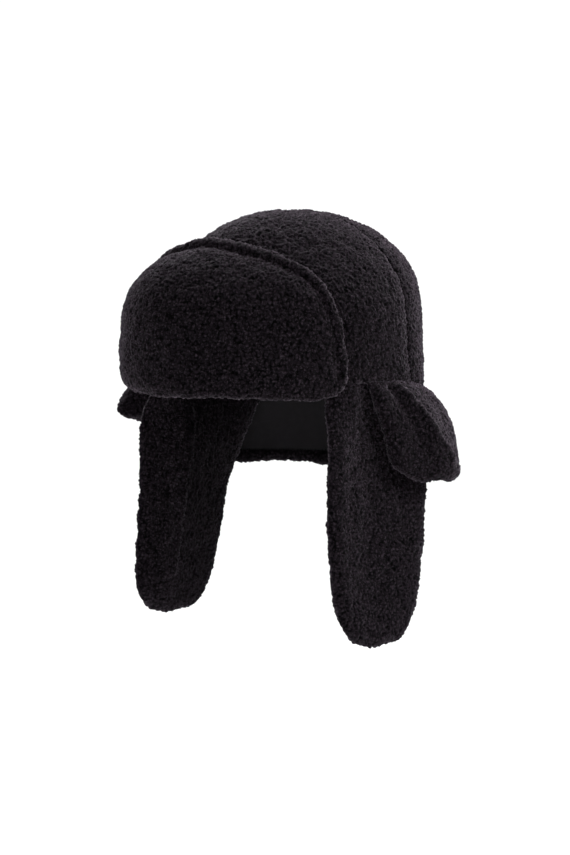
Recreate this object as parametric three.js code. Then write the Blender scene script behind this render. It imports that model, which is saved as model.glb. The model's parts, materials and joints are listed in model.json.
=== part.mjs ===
import * as THREE from 'three';
import { mergeVertices } from 'three/addons/utils/BufferGeometryUtils.js';

// An aviator hat sewn from thick teddy pile: a crown of five panels, a front flap turned up against
// it, two ear flaps that hang from its rim, and a neck flap that flares out round the back over the
// rear half of the ear flaps. Millimetres. The front is -Y, the wearer's left is +X, and z = 0 is the
// middle of the head opening at the rim seam, which rises a little at the ears and dips at the nape.

// Driving dimensions
const HALF_WIDTH = 100;
const HALF_LENGTH = 118;
const CROWN_HEIGHT = 133;
const CROWN_WALL = 10.5;
const SEAM_GAP = 0.3;
const SEAM_CLEARANCE = 0.5;
const SEAM_DIP = 1.6;
const FLAP_CLEARANCE = 1.4;
const FRONT_FLAP_THICKNESS = 13.5;
const EAR_FLAP_THICKNESS = 13;
const EAR_FLAP_ROOT = 9.5;
const EAR_FLAP_TUCKED_ROOT = 4.5;

// Crown outline from the side, front and back. Reach is the share of the rim's half sizes, and
// setback moves the level towards the nape.
const CROWN_PROFILE = [
  { height: -30, front: 1, back: 1, setback: 0 },
  { height: 0, front: 1, back: 1, setback: 0 },
  { height: 30, front: 0.988, back: 0.98, setback: 0 },
  { height: 54, front: 0.98, back: 0.96, setback: 1 },
  { height: 66, front: 0.955, back: 0.947, setback: 2 },
  { height: 78, front: 0.87, back: 0.927, setback: 3 },
  { height: 90, front: 0.76, back: 0.893, setback: 4 },
  { height: 100, front: 0.66, back: 0.812, setback: 5 },
  { height: 111, front: 0.56, back: 0.69, setback: 7 },
  { height: 118, front: 0.48, back: 0.57, setback: 8 },
  { height: 125, front: 0.37, back: 0.42, setback: 9 },
  { height: 130.5, front: 0.2, back: 0.21, setback: 10 },
  { height: CROWN_HEIGHT, front: 0, back: 0, setback: 10 },
];
// Each panel swells between its seams, most at the shoulder of the crown.
const PANEL_SWELL = 0.03;
const SWELL_MEAN = 0.5;
const SWELL_HEIGHT = 85;
const PANEL_COUNT = 5;
const PANEL_HALF_ANGLE = 180 / PANEL_COUNT;
const SEAM_DIP_ANGLE = 5;
const PANEL_COLUMNS = [-36, -34.5, -30, -22, -11, 0, 11, 22, 30, 34.5, 36];
const CROWN_ROWS = [0, 5, 18, 36, 52, 63, 72, 81, 90, 99, 107, 114, 120, 125.5, 130, CROWN_HEIGHT];

// Rim seam round the head, by the angle from the front.
const RIM_SEAM = [
  { angle: 0, height: 2 },
  { angle: 45, height: 5 },
  { angle: 75, height: 8 },
  { angle: 100, height: 6 },
  { angle: 135, height: -3 },
  { angle: 180, height: -6 },
];
const RIM_BLEND = 60;

// Free edge of the turned-up front flap, from the middle to the end over the ear.
const FRONT_FLAP_LIP = [
  { along: 0, angle: 0, height: 104 },
  { along: 0.12, angle: 12, height: 102.5 },
  { along: 0.3, angle: 31, height: 97 },
  { along: 0.45, angle: 46, height: 90.5 },
  { along: 0.55, angle: 55, height: 82 },
  { along: 0.64, angle: 61, height: 71 },
  { along: 0.73, angle: 65, height: 55 },
  { along: 0.82, angle: 67, height: 37 },
  { along: 0.92, angle: 68, height: 17 },
  { along: 1, angle: 68.5, height: 1 },
];
const FRONT_FLAP_END_ANGLE = 65.5;
const FRONT_FLAP_FOLD = [
  { across: -1, height: -1 },
  { across: -0.9, height: -3.5 },
  { across: -0.6, height: -4 },
  { across: 0, height: -4 },
  { across: 0.6, height: -6 },
  { across: 0.9, height: -10 },
  { across: 1, height: -7 },
];
const FRONT_FLAP_COLUMNS = 36;
const FRONT_FLAP_SPINE = { angle: 34, height: 42, spread: 55 };
const FRONT_FLAP_INSETS = [0, 1.5, 4, 6.5, 8.2, 10, 15, 24, 34, 44, 54, Infinity];
// Pile standing over the flap's backing, by the distance in from its edge: a rolled lip, the
// topstitched groove inside it and the pillowed face.
const FRONT_FLAP_SECTION = [
  { inset: 0, share: 0.42 },
  { inset: 1.5, share: 0.7 },
  { inset: 4, share: 0.84 },
  { inset: 6.5, share: 0.8 },
  { inset: 8.2, share: 0.52 },
  { inset: 10, share: 0.78 },
  { inset: 15, share: 0.92 },
  { inset: 50, share: 1 },
];
const FOLD_SECTION = [
  { inset: 0, share: 0.35 },
  { inset: 3, share: 0.65 },
  { inset: 9, share: 0.82 },
  { inset: 30, share: 1 },
];

// Ear flap, level by level: the middle of its thickness [x, y] at the front edge, at the upright
// crease where the front strip turns out, at the middle of the rear part and at the rear edge.
const EAR_FLAP_LEVELS = [
  { z: -184, front: [104, -25], crease: [103.5, -18], middle: [104, -10], rear: [104.5, 5] },
  { z: -179, front: [104, -38], crease: [102.5, -26], middle: [103, -9], rear: [104.5, 14] },
  { z: -171, front: [103.5, -49], crease: [99.5, -31], middle: [101.5, -7], rear: [104, 22.5] },
  { z: -159, front: [102.5, -56], crease: [96, -33.5], middle: [100.5, -5], rear: [103.5, 29.5] },
  { z: -141, front: [100.5, -58.5], crease: [92.5, -34], middle: [98.5, -2], rear: [103, 35] },
  { z: -114, front: [97, -59.5], crease: [90, -32.5], middle: [95.5, 2], rear: [102, 41] },
  { z: -97, front: [95.5, -59.5], crease: [88.5, -31.5], middle: [93.5, 4], rear: [101.5, 43.5] },
  { z: -80, front: [95, -59], crease: [87.5, -30], middle: [92, 6], rear: [100, 47] },
  { z: -60, front: [95, -58.5], crease: [85.5, -27.5], middle: [89, 10], rear: [95, 55] },
  { z: -35, front: [94.5, -58], crease: [86.5, -24.5], middle: [88.5, 17], rear: [87, 62] },
  { z: -19, front: [92, -58], crease: [88.5, -23.5], middle: [89, 24], rear: [80, 65] },
  { z: -8, front: [87, -54], crease: [90, -24], middle: [90, 26], rear: [76, 67] },
  { z: 8, front: [86, -52], crease: [91, -24], middle: [90.5, 28], rear: [74, 68] },
];
// The first row follows the rim seam, and the rest are levels.
const EAR_FLAP_ROWS = [
  8, -2, -8, -14, -20, -28, -38, -50, -65, -80, -97,
  -114, -128, -141, -151, -160, -168, -174, -179, -182, -184,
];
const EAR_FLAP_FULL = -38;
const EAR_FLAP_COLUMNS = 14;
const CREASE_SHARE = 0.32;
// The root is thinner behind this share, where the neck flap is sewn on outside it, and between
// these levels the flap comes in to the rim.
const TUCK_START = 0.25;
const RIM_FOLLOW = { from: -26, to: 2 };
const EDGE_ROUND = 7;
const EDGE_SHARE = 0.22;
const LOBE_ROUND = 9;

// Neck flap, round the back from the wearer's left to the right: where each line of it leaves the
// rim, where the middle of its thickness ends at the hem, and how thick it is there and at the rim.
const NECK_FLAP_LINES = [
  { along: 0, rimAngle: 80, hemX: 103.5, hemY: -0.5, hemZ: -53, belly: 5, full: 15, root: 4.5 },
  { along: 0.08, rimAngle: 87, hemX: 108.5, hemY: 24, hemZ: -67, belly: 4, full: 16, root: 4.5 },
  { along: 0.16, rimAngle: 97, hemX: 116.5, hemY: 53, hemZ: -68, belly: 8, full: 18, root: 4.5 },
  { along: 0.19, rimAngle: 102, hemX: 112, hemY: 62, hemZ: -70, belly: 6, full: 16, root: 4.5 },
  { along: 0.26, rimAngle: 118, hemX: 98, hemY: 80, hemZ: -72, belly: 9, full: 14, root: 4.5 },
  { along: 0.36, rimAngle: 142, hemX: 72, hemY: 100, hemZ: -73, belly: 7, full: 13, root: 9.5 },
  { along: 0.5, rimAngle: 180, hemX: 0, hemY: 122, hemZ: -72, belly: 5, full: 13, root: 9.5 },
  { along: 0.58, rimAngle: 200, hemX: -41, hemY: 116, hemZ: -75, belly: 5, full: 13, root: 9.5 },
  { along: 0.65, rimAngle: 218, hemX: -76, hemY: 98, hemZ: -71, belly: 6, full: 13, root: 9.5 },
  { along: 0.76, rimAngle: 242, hemX: -112, hemY: 64, hemZ: -73, belly: 8, full: 14, root: 4.5 },
  { along: 0.87, rimAngle: 263, hemX: -132, hemY: 20, hemZ: -49, belly: 10, full: 20, root: 4.5 },
  { along: 0.94, rimAngle: 272, hemX: -139, hemY: -12, hemZ: -35, belly: 11, full: 27, root: 4.5 },
  { along: 1, rimAngle: 279, hemX: -135, hemY: -42, hemZ: -26, belly: 10, full: 28, root: 4.5 },
];
const NECK_FLAP_COLUMNS = 52;
const NECK_FLAP_ROWS = [0, 0.06, 0.14, 0.26, 0.4, 0.56, 0.72, 0.84, 0.92, 0.97, 1];
const NECK_FLAP_LENGTH = 420;
const NECK_FLAP_FULL_DROP = 0.35;
const BELLY_SKEW = 0.8;

// Steps of the two parameters of each surface, over which its normal is measured
const CROWN_STEP = [0.5, 0.5];
const EAR_FLAP_STEP = [0.01, 1];
const NECK_FLAP_STEP = [0.002, 0.01];
const MERGE_DISTANCE = 1e-3;

const TEDDY_BLACK = { color: 0x19181b, roughness: 0.95, metalness: 0 };

/** Smooth curve through one column of a table, against another column that rises. */
function columnCurve(table, along, column) {
  const at = table.map((row) => row[along]);
  const value = table.map((row) => row[column]);
  const last = table.length - 1;
  const step = (i) => (value[i + 1] - value[i]) / (at[i + 1] - at[i]);
  const slope = (i) => {
    if (i === 0) return step(0);
    if (i === last) return step(last - 1);
    return step(i - 1) * step(i) > 0 ? (step(i - 1) + step(i)) / 2 : 0;
  };
  return (place) => {
    const p = THREE.MathUtils.clamp(place, at[0], at[last]);
    let i = 0;
    while (i < last - 1 && p > at[i + 1]) i += 1;
    const span = at[i + 1] - at[i];
    const t = (p - at[i]) / span;
    const bend = t * t * (3 - 2 * t);
    const lead = t * (1 - t) * (1 - t) * span * slope(i);
    const trail = t * t * (t - 1) * span * slope(i + 1);
    return value[i] + (value[i + 1] - value[i]) * bend + lead + trail;
  };
}

const frontReach = columnCurve(CROWN_PROFILE, 'height', 'front');
const backReach = columnCurve(CROWN_PROFILE, 'height', 'back');
const setback = columnCurve(CROWN_PROFILE, 'height', 'setback');
const rimHeight = columnCurve(RIM_SEAM, 'angle', 'height');

/** Point of the rim's ellipse at an angle from the front, scaled by reach and moved out by stand. */
function aroundHead(angle, z, reach = 1, stand = 0) {
  const turn = THREE.MathUtils.degToRad(angle);
  const x = (HALF_WIDTH * reach + stand) * Math.sin(turn);
  const y = -(HALF_LENGTH * reach + stand) * Math.cos(turn);
  return new THREE.Vector3(x, y, z);
}

/** Angle from the front, as aroundHead counts it, of a point on the wearer's left. */
function headAngle(x, y) {
  return THREE.MathUtils.radToDeg(Math.atan2(x / HALF_WIDTH, -y / HALF_LENGTH));
}

/** Level of the rim seam at an angle from the front, the same on both sides. */
function rimLevel(angle) {
  const wrapped = Math.abs(((angle + 180) % 360) - 180);
  return rimHeight(wrapped);
}

/** Crown's share of the rim's half sizes at an angle from the front and a height above the seam. */
function crownReach(angle, height) {
  const facing = 0.5 + 0.5 * Math.cos(THREE.MathUtils.degToRad(angle));
  const swell = Math.abs(Math.cos(THREE.MathUtils.degToRad(angle * PANEL_COUNT / 2)));
  const level = Math.sin((Math.PI / 2) * THREE.MathUtils.clamp(height / SWELL_HEIGHT, 0, 1));
  const reach = THREE.MathUtils.lerp(backReach(height), frontReach(height), facing);
  return reach * (1 + PANEL_SWELL * level * (swell - SWELL_MEAN));
}

/** Crown surface at an angle and a height above the seam, for a wall shrunk by an inset. */
function crownPoint(angle, height, inset = 0) {
  const shrink = 1 - inset / CROWN_HEIGHT;
  const fade = Math.max(0, 1 - Math.max(0, height) / RIM_BLEND);
  const z = Math.max(height * shrink, 0) + Math.min(height, 0) + rimLevel(angle) * fade;
  const point = aroundHead(angle, z, crownReach(angle, height));
  point.x *= (HALF_WIDTH - inset) / HALF_WIDTH;
  point.y *= (HALF_LENGTH - inset) / HALF_LENGTH;
  point.y += setback(height);
  return point;
}

/** Outward unit normal of a surface given by two parameters. */
function surfaceNormal(surface, u, v, [du, dv]) {
  const alongU = surface(u + du, v).sub(surface(u - du, v));
  const alongV = surface(u, v + dv).sub(surface(u, v - dv));
  return alongU.cross(alongV).normalize();
}

/** Closed body between an outer and an inner face over one grid, joined round the border. A grid that
 * wraps has its last column on its first, and only its first row is a border. */
function shellBetween(columns, rows, outer, inner, wraps = false) {
  const positions = [];
  const stride = rows + 1;
  const innerStart = (columns + 1) * stride;
  for (const face of [outer, inner]) {
    for (let i = 0; i <= columns; i += 1) {
      for (let j = 0; j <= rows; j += 1) positions.push(...face(i, j).toArray());
    }
  }
  const index = [];
  const quad = (a, b, c, d) => index.push(a, b, c, a, c, d);
  for (let i = 0; i < columns; i += 1) {
    for (let j = 0; j < rows; j += 1) {
      const a = i * stride + j;
      const b = a + stride;
      quad(a, b, b + 1, a + 1);
      quad(innerStart + a, innerStart + a + 1, innerStart + b + 1, innerStart + b);
    }
  }
  const border = [];
  for (let i = 0; i < columns; i += 1) border.push(i * stride);
  if (!wraps) {
    for (let j = 0; j < rows; j += 1) border.push(columns * stride + j);
    for (let i = columns; i > 0; i -= 1) border.push(i * stride + rows);
    for (let j = rows; j > 0; j -= 1) border.push(j);
  }
  border.forEach((a, k) => {
    const b = border[(k + 1) % border.length];
    quad(b, a, innerStart + a, innerStart + b);
  });
  return closedGeometry(positions, index);
}

/** Geometry with shared corners, without collapsed triangles, and with its faces pointing out. */
function closedGeometry(positions, index) {
  const loose = new THREE.BufferGeometry();
  loose.setAttribute('position', new THREE.Float32BufferAttribute(positions, 3));
  loose.setIndex(index);
  const merged = mergeVertices(loose, MERGE_DISTANCE);
  const corners = merged.index.array;
  const place = merged.attributes.position;
  const a = new THREE.Vector3();
  const b = new THREE.Vector3();
  const c = new THREE.Vector3();
  const kept = [];
  let volume = 0;
  for (let k = 0; k < corners.length; k += 3) {
    const [i, j, l] = [corners[k], corners[k + 1], corners[k + 2]];
    if (i === j || j === l || l === i) continue;
    kept.push(i, j, l);
    volume += a.fromBufferAttribute(place, i).dot(
      b.fromBufferAttribute(place, j).cross(c.fromBufferAttribute(place, l)));
  }
  if (volume < 0) kept.reverse();
  merged.setIndex(kept);
  merged.computeVertexNormals();
  return merged;
}

/** Both faces of a padded piece, a half thickness to each side of its middle surface. */
function paddedFaces(middle, halfThickness, step) {
  const face = (side) => (u, v) => {
    const normal = surfaceNormal(middle, u, v, step);
    return middle(u, v).addScaledVector(normal, side * halfThickness(u, v));
  };
  return [face(1), face(-1)];
}

/** Share of the full thickness at a distance in from a rounded edge. */
function roundedShare(distance, rounding = EDGE_ROUND) {
  const inward = Math.min(distance / rounding, 1);
  return Math.max(EDGE_SHARE, Math.sqrt(1 - (1 - inward) * (1 - inward)));
}

/** Shortest distance from a point of a flat pattern to an open outline. */
function distanceToOutline(point, outline) {
  const closest = new THREE.Vector3();
  const edge = new THREE.Line3();
  let shortest = Infinity;
  for (let i = 0; i + 1 < outline.length; i += 1) {
    edge.set(outline[i], outline[i + 1]).closestPointToPoint(point, true, closest);
    shortest = Math.min(shortest, closest.distanceTo(point));
  }
  return shortest;
}

function teddyMesh(name, geometry) {
  const mesh = new THREE.Mesh(geometry, new THREE.MeshStandardMaterial(TEDDY_BLACK));
  mesh.name = name;
  return mesh;
}

/** One of the crown panels. It spans a fifth of the head and stands clear of its neighbours. */
function crownPanel(name, middleAngle) {
  const shift = SEAM_GAP / (2 * Math.sin(THREE.MathUtils.degToRad(PANEL_HALF_ANGLE)));
  const away = aroundHead(middleAngle, 0).normalize().multiplyScalar(shift);
  const dip = (turn) => SEAM_DIP * Math.max(0, 1 - (PANEL_HALF_ANGLE - Math.abs(turn)) / SEAM_DIP_ANGLE);
  const wall = (inset) => (i, j) => {
    const turn = PANEL_COLUMNS[i];
    const sunk = inset === 0 ? dip(turn) * backReach(CROWN_ROWS[j]) : 0;
    return crownPoint(middleAngle + turn, CROWN_ROWS[j], inset + sunk).add(away);
  };
  const [columns, rows] = [PANEL_COLUMNS.length - 1, CROWN_ROWS.length - 1];
  return teddyMesh(name, shellBetween(columns, rows, wall(0), wall(CROWN_WALL)));
}

/** The D-shaped flap turned up against the front of the crown, folded along its lower edge. Its grid
 * runs round the outline and in to a level spine, so that the groove follows the lip. */
function frontFlap() {
  const lipAngle = columnCurve(FRONT_FLAP_LIP, 'along', 'angle');
  const lipHeight = columnCurve(FRONT_FLAP_LIP, 'along', 'height');
  const foldHeight = columnCurve(FRONT_FLAP_FOLD, 'across', 'height');
  const lipShare = columnCurve(FRONT_FLAP_SECTION, 'inset', 'share');
  const foldShare = columnCurve(FOLD_SECTION, 'inset', 'share');
  const arc = THREE.MathUtils.degToRad((HALF_WIDTH + HALF_LENGTH) / 2);
  const columns = FRONT_FLAP_COLUMNS;
  const across = Array.from({ length: columns + 1 }, (_, i) => (2 * i) / columns - 1);
  const flat = (angle, height) => new THREE.Vector3(angle * arc, height, 0);
  const lip = across.map((s) => flat(Math.sign(s) * lipAngle(Math.abs(s)), lipHeight(Math.abs(s))));
  const fold = across.map((s) => flat(s * FRONT_FLAP_END_ANGLE, foldHeight(s)));
  const spineEnd = FRONT_FLAP_SPINE.angle;
  const spine = across.map((s) => flat(
    THREE.MathUtils.clamp(s * FRONT_FLAP_SPINE.spread, -spineEnd, spineEnd), FRONT_FLAP_SPINE.height));
  const outline = [...lip, ...[...fold].reverse()];
  const centres = [...spine, ...[...spine].reverse()];
  const freeEdge = [fold[0], ...lip, fold[fold.length - 1]];
  const face = (outside) => (i, j) => {
    const edge = outline[i % outline.length];
    const centre = centres[i % outline.length];
    const share = Math.min(FRONT_FLAP_INSETS[j] / edge.distanceTo(centre), 1);
    const cut = edge.clone().lerp(centre, share);
    const thickness = FRONT_FLAP_THICKNESS * Math.min(
      lipShare(distanceToOutline(cut, freeEdge)), foldShare(distanceToOutline(cut, fold)));
    const angle = cut.x / arc;
    const normal = surfaceNormal(crownPoint, angle, cut.y, CROWN_STEP);
    return crownPoint(angle, cut.y).addScaledVector(normal, FLAP_CLEARANCE + (outside ? thickness : 0));
  };
  const rows = FRONT_FLAP_INSETS.length - 1;
  return teddyMesh('front_flap', shellBetween(outline.length, rows, face(true), face(false), true));
}

/** An ear flap on the wearer's left (side 1) or right (side -1). */
function earFlap(name, side) {
  const lineOf = (column) => {
    const rows = EAR_FLAP_LEVELS.map((row) => ({ z: row.z, x: row[column][0], y: row[column][1] }));
    const [x, y] = [columnCurve(rows, 'z', 'x'), columnCurve(rows, 'z', 'y')];
    return (z) => new THREE.Vector2(x(z), y(z));
  };
  const [front, crease, centre, rearEdge] = ['front', 'crease', 'middle', 'rear'].map(lineOf);
  const tuckAt = (share) => THREE.MathUtils.smoothstep(share, TUCK_START, CREASE_SHARE);
  const middle = (share, z) => {
    const rear = Math.min((share - CREASE_SHARE) / (1 - CREASE_SHARE), 1);
    let point = front(z).lerp(crease(z), share / CREASE_SHARE);
    if (rear > 0) {
      const [start, end] = [crease(z), rearEdge(z)];
      const handle = centre(z).multiplyScalar(2).sub(start.clone().add(end).divideScalar(2));
      point = new THREE.QuadraticBezierCurve(start, handle, end).getPoint(rear);
    }
    const inset = THREE.MathUtils.lerp(
      0.5 * EAR_FLAP_ROOT, CROWN_WALL - 0.5 * EAR_FLAP_TUCKED_ROOT, tuckAt(share));
    const rim = aroundHead(headAngle(point.x, point.y), z, 1, -inset);
    const follow = THREE.MathUtils.smoothstep(z, RIM_FOLLOW.from, RIM_FOLLOW.to);
    point.lerp(new THREE.Vector2(rim.x, rim.y), follow);
    return new THREE.Vector3(side * point.x, point.y, z);
  };
  const flat = (share, z) => {
    const point = middle(share, z);
    return new THREE.Vector3(point.y, z, 0);
  };
  const outline = [
    ...EAR_FLAP_ROWS.map((z) => flat(0, z)),
    ...[...EAR_FLAP_ROWS].reverse().map((z) => flat(1, z)),
  ];
  const half = (share, z) => {
    const root = THREE.MathUtils.lerp(EAR_FLAP_ROOT, EAR_FLAP_TUCKED_ROOT, tuckAt(share));
    const full = THREE.MathUtils.mapLinear(
      Math.max(z, EAR_FLAP_FULL), EAR_FLAP_ROWS[0], EAR_FLAP_FULL, root, EAR_FLAP_THICKNESS);
    return 0.5 * full * roundedShare(distanceToOutline(flat(share, z), outline));
  };
  const [outer, inner] = paddedFaces(middle, half, EAR_FLAP_STEP);
  const cell = (face) => (i, j) => {
    const point = face(i / EAR_FLAP_COLUMNS, EAR_FLAP_ROWS[j]);
    const seam = rimLevel(headAngle(Math.abs(point.x), point.y)) - SEAM_CLEARANCE;
    return j === 0 ? point.setZ(seam) : point;
  };
  const rows = EAR_FLAP_ROWS.length - 1;
  return teddyMesh(name, shellBetween(EAR_FLAP_COLUMNS, rows, cell(outer), cell(inner)));
}

/** The neck flap, which leaves the rim seam outside the ear flaps and flares out over them. */
function neckFlap() {
  const at = (column) => columnCurve(NECK_FLAP_LINES, 'along', column);
  const [rimAngle, hemX, hemY] = ['rimAngle', 'hemX', 'hemY'].map(at);
  const [hemZ, root, belly, fullSize] = ['hemZ', 'root', 'belly', 'full'].map(at);
  const middle = (along, drop) => {
    const angle = rimAngle(along);
    const start = aroundHead(angle, rimLevel(angle) - SEAM_CLEARANCE, 1, -0.5 * root(along));
    const end = new THREE.Vector3(hemX(along), hemY(along), hemZ(along));
    const outward = aroundHead(angle, 0).normalize();
    const bulge = belly(along) * Math.sin(Math.PI * THREE.MathUtils.clamp(drop, 0, 1) ** BELLY_SKEW);
    return start.lerp(end, drop).addScaledVector(outward, bulge);
  };
  const half = (along, drop) => {
    const end = middle(along, 1);
    const length = end.distanceTo(middle(along, 0));
    const fromEnd = Math.min(along, 1 - along) * NECK_FLAP_LENGTH;
    const grown = Math.min(drop / NECK_FLAP_FULL_DROP, 1);
    const full = THREE.MathUtils.lerp(root(along), fullSize(along), grown);
    const rounding = Math.max(EDGE_ROUND, 0.5 * full);
    return 0.5 * full * Math.min(
      roundedShare((1 - drop) * length, rounding), roundedShare(fromEnd, LOBE_ROUND));
  };
  const [outer, inner] = paddedFaces(middle, half, NECK_FLAP_STEP);
  const cell = (face) => (i, j) => {
    const along = i / NECK_FLAP_COLUMNS;
    const point = face(along, NECK_FLAP_ROWS[j]);
    const seam = rimLevel(rimAngle(along)) - SEAM_CLEARANCE;
    return j === 0 ? point.setZ(seam) : point.setZ(Math.min(point.z, seam - NECK_FLAP_ROWS[j]));
  };
  const rows = NECK_FLAP_ROWS.length - 1;
  return teddyMesh('neck_flap', shellBetween(NECK_FLAP_COLUMNS, rows, cell(outer), cell(inner)));
}

const hat = new THREE.Group();
hat.add(crownPanel('crown_panel_front', 0));
hat.add(crownPanel('crown_panel_front_left', 72));
hat.add(crownPanel('crown_panel_back_left', 144));
hat.add(crownPanel('crown_panel_back_right', 216));
hat.add(crownPanel('crown_panel_front_right', 288));
hat.add(frontFlap());
hat.add(earFlap('ear_flap_left', 1));
hat.add(earFlap('ear_flap_right', -1));
hat.add(neckFlap());

export default hat;
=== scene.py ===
import json
import math

import bmesh
import bpy
import numpy as np
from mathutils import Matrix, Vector, noise
from mathutils.bvhtree import BVHTree

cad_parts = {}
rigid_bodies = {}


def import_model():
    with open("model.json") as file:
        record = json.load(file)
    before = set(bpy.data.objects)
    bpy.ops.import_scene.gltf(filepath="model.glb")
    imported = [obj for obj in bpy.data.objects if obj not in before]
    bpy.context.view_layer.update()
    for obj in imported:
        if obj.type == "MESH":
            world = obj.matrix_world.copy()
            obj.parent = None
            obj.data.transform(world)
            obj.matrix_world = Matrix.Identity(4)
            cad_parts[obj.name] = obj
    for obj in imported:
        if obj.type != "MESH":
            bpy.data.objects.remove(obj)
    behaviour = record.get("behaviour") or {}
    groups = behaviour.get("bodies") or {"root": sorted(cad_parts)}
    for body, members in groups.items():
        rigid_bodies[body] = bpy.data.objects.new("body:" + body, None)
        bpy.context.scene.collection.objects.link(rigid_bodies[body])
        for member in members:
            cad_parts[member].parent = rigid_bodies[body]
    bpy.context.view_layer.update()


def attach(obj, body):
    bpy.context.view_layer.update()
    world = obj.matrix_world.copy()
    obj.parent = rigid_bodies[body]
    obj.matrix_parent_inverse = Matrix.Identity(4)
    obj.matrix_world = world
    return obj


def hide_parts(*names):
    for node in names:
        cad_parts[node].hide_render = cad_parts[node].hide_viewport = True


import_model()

# Camera
# The hat is seen a little from above, from the front and the wearer's left, from about a metre and
# a half away. The sensor width belongs to the picture's long side.
VIEW_TARGET = Vector((0.0012, 0.0010, -0.0325))
VIEW_AZIMUTH = math.radians(40.5)
VIEW_ELEVATION = math.radians(5.5)
VIEW_DISTANCE = 1.450
SENSOR_WIDTH = 36
LENS = 80.33
view_back = Vector((
    math.sin(VIEW_AZIMUTH) * math.cos(VIEW_ELEVATION),
    -math.cos(VIEW_AZIMUTH) * math.cos(VIEW_ELEVATION),
    math.sin(VIEW_ELEVATION)))
camera_data = bpy.data.cameras.new("camera")
camera_data.sensor_width = SENSOR_WIDTH
camera_data.lens = LENS
camera = bpy.data.objects.new("camera", camera_data)
camera.location = VIEW_TARGET + view_back * VIEW_DISTANCE
camera.rotation_euler = (-view_back).to_track_quat("-Z", "Y").to_euler()
bpy.context.collection.objects.link(camera)
bpy.context.scene.camera = camera

# Floor and backdrop
# A white studio sweep: a round floor whose edge curves up into a wall, so that it closes the view
# from every side. The hat is held up by its crown, so the floor lies well below the ear flap tips.
FLOOR_LEVEL = -0.42
FLOOR_RADIUS = 2.6
WALL_BEND = 0.9
WALL_TOP = 3.0
BEND_STEPS = 10
ROUND_STEPS = 96


def studio_sweep():
    bm = bmesh.new()
    hub = bm.verts.new((0, 0, FLOOR_LEVEL))
    bend = [(FLOOR_RADIUS + WALL_BEND * math.sin(t), FLOOR_LEVEL + WALL_BEND * (1 - math.cos(t)))
            for t in (math.radians(90 * k / BEND_STEPS) for k in range(BEND_STEPS + 1))]
    profile = [hub] + [bm.verts.new((x, 0, z)) for x, z in bend + [(bend[-1][0], WALL_TOP)]]
    edges = [bm.edges.new(pair) for pair in zip(profile, profile[1:])]
    bmesh.ops.spin(
        bm, geom=profile + edges, cent=(0, 0, 0), axis=(0, 0, 1), angle=math.tau,
        steps=ROUND_STEPS, use_merge=True, use_duplicate=False)
    bmesh.ops.remove_doubles(bm, verts=bm.verts, dist=1e-5)
    bmesh.ops.recalc_face_normals(bm, faces=bm.faces)
    for face in bm.faces:
        face.smooth = True
    mesh = bpy.data.meshes.new("studio_sweep")
    bm.to_mesh(mesh)
    bm.free()
    sweep = bpy.data.objects.new("studio_sweep", mesh)
    bpy.context.collection.objects.link(sweep)
    paper = bpy.data.materials.new("white_paper")
    paper.use_nodes = True
    shader = paper.node_tree.nodes["Principled BSDF"]
    shader.inputs["Base Color"].default_value = (0.96, 0.96, 0.96, 1)
    shader.inputs["Roughness"].default_value = 0.9
    mesh.materials.append(paper)


studio_sweep()

# Light
# An even white room with soft boxes above and behind and at both sides. The one in front is weak,
# which leaves the front of the black pile darkest and its edges and top a little brighter.
ROOM_STRENGTH = 1.12
BOX_SIZE = 0.6
BOX_SPREAD = math.radians(80)
SOFT_BOXES = (
    {"name": "top_back_box", "place": (-0.05, 0.6, 0.95), "watts": 26},
    {"name": "right_back_box", "place": (1.0, 0.25, 0.7), "watts": 14},
    {"name": "left_back_box", "place": (-1.0, 0.3, 0.3), "watts": 13},
    {"name": "front_box", "place": (0.25, -1.15, -0.1), "watts": 4},
)
bpy.context.scene.view_settings.view_transform = "Standard"
room = bpy.data.worlds.new("white_room")
room.use_nodes = True
room.node_tree.nodes["Background"].inputs["Color"].default_value = (1, 1, 1, 1)
room.node_tree.nodes["Background"].inputs["Strength"].default_value = ROOM_STRENGTH
bpy.context.scene.world = room


def soft_box(name, place, watts):
    data = bpy.data.lights.new(name, "AREA")
    data.shape = "SQUARE"
    data.size = BOX_SIZE
    data.energy = watts
    data.spread = BOX_SPREAD
    box = bpy.data.objects.new(name, data)
    box.location = place
    box.rotation_euler = (-Vector(place)).to_track_quat("-Z", "Y").to_euler()
    bpy.context.collection.objects.link(box)


for row in SOFT_BOXES:
    soft_box(**row)

# Crown
# Five curved panels of black teddy pile on a padded backing with a smooth lining, sewn together
# along seams that meet at the top. The pile's curls are about 3 mm wide and nearly close over the
# seams.
CAD_NODES = [entry.name for entry in bpy.data.objects
             if entry.type == "MESH" and entry.name != "studio_sweep"]
CROWN_MIDDLE = (0, 0.005, 0.02)
CURL_SEED = 7
CURL = 0.0031
CURL_DEPTH = 0.0026
CURL_MIDDLE = 0.55
WIDE_BEND, WIDE_RATE = 0.5, 0.8
FINE_BEND, FINE_RATE = 0.35, 2.1
VALLEY_SLOPE = 1.9
VALLEY_SHARE, DOME_SHARE = 0.6, 0.4
LUMP = 0.011
LUMP_DEPTH = 0.0012
SEAM_REACH = 0.0028
SEAM_FILL = 0.0008
PILE_STEP = 0.00108
ROUNDINGS = 2
SMOOTHINGS = 4
JOINED_TURN = math.radians(50)
JOINED_SHAPE = math.radians(60)
# Painted shade on the faces turned to the head: where it begins behind the front and how far down.
SHADE_BEHIND = -0.027
SHADE_DOWN_TO = -0.24
BARE_COVER = 0.1
SHADOW_BLACK = (0.0001, 0.0001, 0.0001, 1)
PILE_BLACK = (0.0026, 0.0020, 0.0026, 1)
TIP_GREY = (0.0100, 0.0079, 0.0098, 1)
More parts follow.
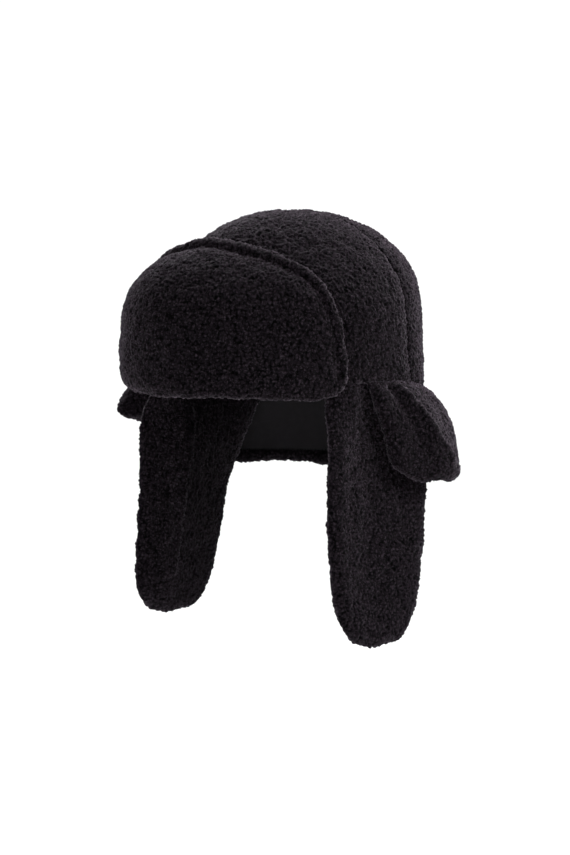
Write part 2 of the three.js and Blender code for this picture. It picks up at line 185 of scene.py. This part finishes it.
# The lining's own black, darkened further as painted shade inside the hat.
LINING_AND_SHADE_BLACK = (0.0004, 0.0003, 0.0005, 1)
PARTING_BEND = 0.004
PARTING_SHARE, HEIGHT_SHARE = 0.45, 0.55
# Painted sheen: how steeply and how far the colour lightens towards the form's edges.
RIM_SHEEN_POWER = 3
RIM_SHEEN_GAIN = 2.4


def pile_height(place):
    """Height of the curls at a place, from 0 down between them to 1 on top of one."""
    at = place / CURL
    at = (at + WIDE_BEND * noise.noise_vector(at * WIDE_RATE)
          + FINE_BEND * noise.noise_vector(at * FINE_RATE))
    near = noise.voronoi(at)[0]
    valley = min(1.0, (near[1] - near[0]) * VALLEY_SLOPE)
    dome = max(0.0, 1 - near[0] * near[0])
    return VALLEY_SHARE * math.sqrt(valley) + DOME_SHARE * dome


def cad_tree(skipped):
    """Search tree of all the CAD solids but one."""
    corners, faces = [], []
    for entry in bpy.data.objects:
        if entry.name in CAD_NODES and entry.name != skipped:
            start = len(corners)
            corners += [entry.matrix_world @ v.co for v in entry.data.vertices]
            faces += [[start + i for i in face.vertices] for face in entry.data.polygons]
    return BVHTree.FromPolygons(corners, faces)


def seam_fill(places, node):
    """How far the pile swells out at each place to close over a seam with the next piece."""
    others = cad_tree(node)
    away = [others.find_nearest(Vector(p), SEAM_REACH)[3] for p in places]
    return SEAM_FILL * np.array([0 if d is None else 1 - d / SEAM_REACH for d in away])


def bake_modifiers(piece):
    """Applies the piece's modifiers to its mesh."""
    rough = piece.data
    name = piece.name
    shape = piece.evaluated_get(bpy.context.evaluated_depsgraph_get())
    piece.data = bpy.data.meshes.new_from_object(shape)
    piece.modifiers.clear()
    bpy.data.meshes.remove(rough)
    piece.data.name = name


def even_copy(node, name):
    """Evenly meshed closed copy of a CAD solid, with its facets rounded away."""
    bm = bmesh.new()
    bm.from_mesh(bpy.data.objects[node].data)
    bmesh.ops.remove_doubles(bm, verts=bm.verts, dist=1e-6)
    bmesh.ops.join_triangles(
        bm, faces=bm.faces, angle_face_threshold=JOINED_TURN, angle_shape_threshold=JOINED_SHAPE)
    mesh = bpy.data.meshes.new(name)
    bm.to_mesh(mesh)
    bm.free()
    piece = bpy.data.objects.new(name, mesh)
    bpy.context.collection.objects.link(piece)
    rounder = piece.modifiers.new("rounder", "SUBSURF")
    rounder.levels = rounder.render_levels = ROUNDINGS
    remesh = piece.modifiers.new("even_mesh", "REMESH")
    remesh.mode = "VOXEL"
    remesh.voxel_size = PILE_STEP
    soft = piece.modifiers.new("soft_edges", "SMOOTH")
    soft.factor = 0.5
    soft.iterations = SMOOTHINGS
    bake_modifiers(piece)
    return piece


def surface_of(mesh):
    """Places and normals of the mesh's corners."""
    count = len(mesh.vertices)
    places, normals = np.empty(count * 3), np.empty(count * 3)
    mesh.vertices.foreach_get("co", places)
    mesh.vertex_normals.foreach_get("vector", normals)
    return places.reshape(-1, 3), normals.reshape(-1, 3)


def ramp(values, start, length):
    """0 up to start, and from there evenly up to 1 over a length."""
    return np.clip((values - start) / length, 0, 1)


def unit(offsets):
    """Offsets made one long."""
    return offsets / np.linalg.norm(offsets, axis=1)[:, None]


def facing_in(offsets, normals):
    """How far each normal points back along its offset from the middle, from -1 to 1."""
    return -(unit(offsets) * normals).sum(axis=1)


def inner_shade_mask(places, normals):
    """How far each place faces the head's axis behind the front strips of the ear flaps, where the
    pile inside the hat gets painted shade, less so towards the tips."""
    inner = ramp(facing_in(places * np.array([1, 1, 0]), normals), 0.2, 0.4)
    behind = ramp(places[:, 1], SHADE_BEHIND, 0.008)
    return inner * behind * ramp(places[:, 2], SHADE_DOWN_TO, 0.14)


def raise_pile(piece, node, bare=None):
    """Moves the surface out and in to the form of curls. The pile attribute keeps their height,
    cover how much of them grows there, form the normal under them, and the last one how much
    painted shade darkens the places inside the hat that face the head. bare gives how bare of pile
    a place is, from its position and normal."""
    mesh = piece.data
    places, normals = surface_of(mesh)
    count = len(places)
    heights = np.fromiter((pile_height(Vector(p)) for p in places), float, count)
    lumps = np.fromiter((noise.noise(Vector(p) / LUMP) for p in places), float, count)
    cover = np.ones(count) if bare is None else 1 - bare(places, normals)
    relief = (heights - CURL_MIDDLE) * CURL_DEPTH + lumps * LUMP_DEPTH
    rise = relief * cover + seam_fill(places, node)
    places += normals * rise[:, None]
    # Painted shade: the places that face the head inside the hat are darkened in the shading.
    flat = inner_shade_mask(places, normals)
    mesh.vertices.foreach_set("co", places.ravel())
    kept = (("pile", heights * cover), ("cover", cover), ("flat", flat))
    for name, values in kept:
        mesh.attributes.new(name, "FLOAT", "POINT").data.foreach_set("value", values)
    mesh.attributes.new("form", "FLOAT_VECTOR", "POINT").data.foreach_set("vector", normals.ravel())
    mesh.update()
    for face in mesh.polygons:
        face.use_smooth = True


def curl_shading():
    """Node group: the shade between and on the curls, and the fine fibres as a bump height."""
    group = bpy.data.node_groups.new("curl_shading", "ShaderNodeTree")
    face = group.interface
    face.new_socket("Shadow Color", in_out="INPUT", socket_type="NodeSocketColor")
    face.new_socket("Pile Color", in_out="INPUT", socket_type="NodeSocketColor")
    face.new_socket("Tip Color", in_out="INPUT", socket_type="NodeSocketColor")
    face.new_socket("Color", in_out="OUTPUT", socket_type="NodeSocketColor")
    face.new_socket("Fibres", in_out="OUTPUT", socket_type="NodeSocketFloat")
    nodes, links = group.nodes, group.links
    given = nodes.new("NodeGroupInput")
    result = nodes.new("NodeGroupOutput")
    place = nodes.new("ShaderNodeTexCoord")

    # Wavy partings between the curls, darkened with painted shade.
    warp = nodes.new("ShaderNodeTexNoise")
    warp.inputs["Scale"].default_value = 280
    warp.inputs["Detail"].default_value = 2
    links.new(place.outputs["Object"], warp.inputs["Vector"])
    bend = nodes.new("ShaderNodeVectorMath")
    bend.operation = "MULTIPLY_ADD"
    bend.inputs[1].default_value = (PARTING_BEND, PARTING_BEND, PARTING_BEND)
    links.new(warp.outputs["Color"], bend.inputs[0])
    links.new(place.outputs["Object"], bend.inputs[2])
    parting = nodes.new("ShaderNodeTexVoronoi")
    parting.feature = "DISTANCE_TO_EDGE"
    parting.inputs["Scale"].default_value = 330
    links.new(bend.outputs["Vector"], parting.inputs["Vector"])
    line = nodes.new("ShaderNodeMapRange")
    line.interpolation_type = "SMOOTHSTEP"
    line.inputs["From Min"].default_value = 0.0
    line.inputs["From Max"].default_value = 0.2
    links.new(parting.outputs["Distance"], line.inputs["Value"])

    # They and the curls' own height give the tone, from the shadow colour to the pile's.
    pile = nodes.new("ShaderNodeAttribute")
    pile.attribute_name = "pile"
    lower = nodes.new("ShaderNodeMath")
    lower.operation = "MULTIPLY"
    lower.inputs[1].default_value = HEIGHT_SHARE
    links.new(pile.outputs["Fac"], lower.inputs[0])
    level = nodes.new("ShaderNodeMath")
    level.operation = "MULTIPLY_ADD"
    level.inputs[1].default_value = PARTING_SHARE
    links.new(line.outputs["Result"], level.inputs[0])
    links.new(lower.outputs["Value"], level.inputs[2])
    tone = nodes.new("ShaderNodeMapRange")
    tone.interpolation_type = "SMOOTHSTEP"
    tone.inputs["From Min"].default_value = 0.3
    tone.inputs["From Max"].default_value = 0.76
    links.new(level.outputs["Value"], tone.inputs["Value"])
    body = nodes.new("ShaderNodeMix")
    body.data_type = "RGBA"
    links.new(tone.outputs["Result"], body.inputs["Factor"])
    links.new(given.outputs["Shadow Color"], body.inputs["A"])
    links.new(given.outputs["Pile Color"], body.inputs["B"])

    # Small light specks on the raised parts.
    speck = nodes.new("ShaderNodeTexNoise")
    speck.inputs["Scale"].default_value = 600
    speck.inputs["Detail"].default_value = 1
    links.new(place.outputs["Object"], speck.inputs["Vector"])
    light = nodes.new("ShaderNodeMapRange")
    light.inputs["From Min"].default_value = 0.48
    light.inputs["From Max"].default_value = 0.72
    links.new(speck.outputs["Fac"], light.inputs["Value"])
    top = nodes.new("ShaderNodeMath")
    top.operation = "MULTIPLY"
    links.new(light.outputs["Result"], top.inputs[0])
    links.new(tone.outputs["Result"], top.inputs[1])
    tips = nodes.new("ShaderNodeMix")
    tips.data_type = "RGBA"
    links.new(top.outputs["Value"], tips.inputs["Factor"])
    links.new(body.outputs["Result"], tips.inputs["A"])
    links.new(given.outputs["Tip Color"], tips.inputs["B"])

    # Painted shade: half as light where the places face the head inside the hat.
    flat = nodes.new("ShaderNodeAttribute")
    flat.attribute_name = "flat"
    shaded = nodes.new("ShaderNodeMapRange")
    shaded.inputs["To Min"].default_value = 1
    shaded.inputs["To Max"].default_value = 0.5
    links.new(flat.outputs["Fac"], shaded.inputs["Value"])
    inner_shaded = nodes.new("ShaderNodeVectorMath")
    inner_shaded.operation = "SCALE"
    links.new(tips.outputs["Result"], inner_shaded.inputs[0])
    links.new(shaded.outputs["Result"], inner_shaded.inputs["Scale"])
    links.new(inner_shaded.outputs["Vector"], result.inputs["Color"])
    links.new(level.outputs["Value"], result.inputs["Fibres"])
    return group


def teddy_material(name, shading):
    """Matt black pile whose colour is lightened where its smooth form is seen edge on: a painted
    sheen for the light that its fuzz catches at the edges.
    """
    material = bpy.data.materials.new(name)
    material.use_nodes = True
    nodes, links = material.node_tree.nodes, material.node_tree.links
    shader = nodes["Principled BSDF"]
    shader.inputs["Roughness"].default_value = 1
    shader.inputs["Diffuse Roughness"].default_value = 1
    shader.inputs["Specular IOR Level"].default_value = 0
    shader.inputs["Sheen Weight"].default_value = 0.02
    shader.inputs["Sheen Roughness"].default_value = 0.45
    shader.inputs["Sheen Tint"].default_value = (0.9, 0.86, 0.92, 1)
    curls = nodes.new("ShaderNodeGroup")
    curls.node_tree = shading
    curls.inputs["Shadow Color"].default_value = SHADOW_BLACK
    curls.inputs["Pile Color"].default_value = PILE_BLACK
    curls.inputs["Tip Color"].default_value = TIP_GREY
    form = nodes.new("ShaderNodeAttribute")
    form.attribute_name = "form"
    # Painted sheen, lighter where the smooth form is seen edge on.
    facing = nodes.new("ShaderNodeLayerWeight")
    facing.inputs["Blend"].default_value = 0.5
    links.new(form.outputs["Vector"], facing.inputs["Normal"])
    edge = nodes.new("ShaderNodeMath")
    edge.operation = "POWER"
    edge.inputs[1].default_value = RIM_SHEEN_POWER
    links.new(facing.outputs["Facing"], edge.inputs[0])
    gain = nodes.new("ShaderNodeMath")
    gain.operation = "MULTIPLY_ADD"
    gain.inputs[1].default_value = RIM_SHEEN_GAIN
    gain.inputs[2].default_value = 1
    links.new(edge.outputs["Value"], gain.inputs[0])
    painted_rim_sheen = nodes.new("ShaderNodeVectorMath")
    painted_rim_sheen.operation = "SCALE"
    links.new(curls.outputs["Color"], painted_rim_sheen.inputs[0])
    links.new(gain.outputs["Value"], painted_rim_sheen.inputs["Scale"])
    links.new(painted_rim_sheen.outputs["Vector"], shader.inputs["Base Color"])
    bump = nodes.new("ShaderNodeBump")
    bump.inputs["Strength"].default_value = 0.2
    bump.inputs["Distance"].default_value = 0.001
    links.new(curls.outputs["Fibres"], bump.inputs["Height"])
    links.new(bump.outputs["Normal"], shader.inputs["Normal"])
    return material


def lining_material():
    """Smooth black lining with a fine rib, coloured near black so that it also paints the shade
    inside the hat.
    """
    material = bpy.data.materials.new("black_lining")
    material.use_nodes = True
    nodes, links = material.node_tree.nodes, material.node_tree.links
    shader = nodes["Principled BSDF"]
    shader.inputs["Base Color"].default_value = LINING_AND_SHADE_BLACK
    shader.inputs["Roughness"].default_value = 0.8
    shader.inputs["Specular IOR Level"].default_value = 0.04
    place = nodes.new("ShaderNodeTexCoord")
    weave = nodes.new("ShaderNodeTexWave")
    weave.inputs["Scale"].default_value = 400
    links.new(place.outputs["Object"], weave.inputs["Vector"])
    bump = nodes.new("ShaderNodeBump")
    bump.inputs["Strength"].default_value = 0.3
    bump.inputs["Distance"].default_value = 0.0002
    links.new(weave.outputs["Fac"], bump.inputs["Height"])
    links.new(bump.outputs["Normal"], shader.inputs["Normal"])
    return material


def inside_crown(places, normals):
    """How far each place is on the inner side of the crown's wall."""
    return ramp(facing_in(places - np.array(CROWN_MIDDLE), normals), -0.1, 0.3)


def line_bare_side(piece, lining):
    """Gives the faces of a piece that are bare of pile the lining as their material."""
    piece.data.materials.append(lining)
    cover = np.empty(len(piece.data.vertices))
    piece.data.attributes["cover"].data.foreach_get("value", cover)
    for face in piece.data.polygons:
        face.material_index = 1 if cover[face.vertices[0]] < BARE_COVER else 0


noise.seed_set(CURL_SEED)
shading = curl_shading()
crown_teddy = teddy_material("teddy_crown", shading)
lining = lining_material()
for side in ("front", "front_left", "back_left", "back_right", "front_right"):
    panel = even_copy(f"crown_panel_{side}", f"crown_teddy_{side}")
    raise_pile(panel, f"crown_panel_{side}", inside_crown)
    panel.data.materials.append(crown_teddy)
    line_bare_side(panel, lining)
    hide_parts(f"crown_panel_{side}")
    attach(panel, "root")

# Front flap
# One D-shaped padded flap of the same pile, turned up against the crown and folded along its lower
# edge. Its free edge is a rolled lip with a topstitched groove inside it.
front_teddy = teddy_material("teddy_front_flap", shading)
front = even_copy("front_flap", "front_flap_teddy")
raise_pile(front, "front_flap")
front.data.materials.append(front_teddy)
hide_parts("front_flap")
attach(front, "root")

# Ear flaps
# Two long flaps of two layers of pile, hanging from the rim. The front strip of each turns outward
# at an upright crease, which is worked over here with one stroke a flap, and the tip is round.
STROKE_SAMPLES = 12
EAR_STROKES = {
    "left": {
        "path": [(0.093, -0.028, -0.060), (0.096, -0.033, -0.114), (0.102, -0.034, -0.159)],
        "rise": 0.0022, "width": 0.008},
    "right": {
        "path": [(-0.080, -0.012, -0.020), (-0.0795, -0.020, -0.060), (-0.0825, -0.0255, -0.114),
                 (-0.087, -0.028, -0.150)],
        "rise": 0.0016, "width": 0.0028},
}


def fold_along(piece, path, rise, width):
    """Raises the surface along a path that runs near it, or sinks it where rise is negative."""
    places, normals = surface_of(piece.data)
    samples = np.concatenate(
        [np.linspace(a, b, STROKE_SAMPLES) for a, b in zip(path, path[1:])])
    line = places[[np.linalg.norm(places - p, axis=1).argmin() for p in samples]]
    near = np.min([np.linalg.norm(places - p, axis=1) for p in line], axis=0)
    places += normals * (rise * np.exp(-(near / width) ** 2))[:, None]
    piece.data.vertices.foreach_set("co", places.ravel())
    piece.data.update()


ear_teddy = teddy_material("teddy_ear_flaps", shading)
for side in ("left", "right"):
    ear = even_copy(f"ear_flap_{side}", f"ear_flap_teddy_{side}")
    fold_along(ear, **EAR_STROKES[side])
    raise_pile(ear, f"ear_flap_{side}")
    ear.data.materials.append(ear_teddy)
    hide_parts(f"ear_flap_{side}")
    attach(ear, "root")

# Neck flap
# A short padded flap that leaves the rim seam outside the rear half of the ear flaps, runs round
# the back and flares outward, with a rounded lobe at each front end. The left lobe has a soft crest
# and a valley in front of it, and the inner face round the nape is lined above the hem; the
# lining's near black also paints the shade inside the hat there.
HALF_WIDTH = 0.100
HALF_LENGTH = 0.118
LINED_FROM = 0.15
HEM_PILE = -0.066
LOBE_CREST = {
    "path": [(0.103, 0.0075, 0.004), (0.113, 0.016, -0.010), (0.119, 0.028, -0.030),
             (0.122, 0.038, -0.041), (0.122, 0.048, -0.050)],
    "rise": 0.0027, "width": 0.0036}
LOBE_VALLEY = {
    "path": [(0.101, -0.002, 0.003), (0.109, 0.006, -0.013), (0.1145, 0.018, -0.034),
             (0.118, 0.030, -0.050)],
    "rise": -0.0020, "width": 0.0036}


def inside_nape(places, normals):
    """How far each place is on the inner face round the nape, above the pile that turns over the
    hem.
    These places take the near black lining, which also paints the shade there."""
    offsets = places * np.array([1 / HALF_WIDTH, 1 / HALF_LENGTH, 0])
    inner = ramp(facing_in(offsets, normals), 0.1, 0.3)
    between = ramp(unit(offsets)[:, 1], LINED_FROM, 0.1)
    return inner * between * ramp(places[:, 2], HEM_PILE, 0.005)


neck_teddy = teddy_material("teddy_neck_flap", shading)
neck = even_copy("neck_flap", "neck_flap_teddy")
fold_along(neck, **LOBE_CREST)
fold_along(neck, **LOBE_VALLEY)
raise_pile(neck, "neck_flap", inside_nape)
neck.data.materials.append(neck_teddy)
line_bare_side(neck, lining)
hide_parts("neck_flap")
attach(neck, "root")
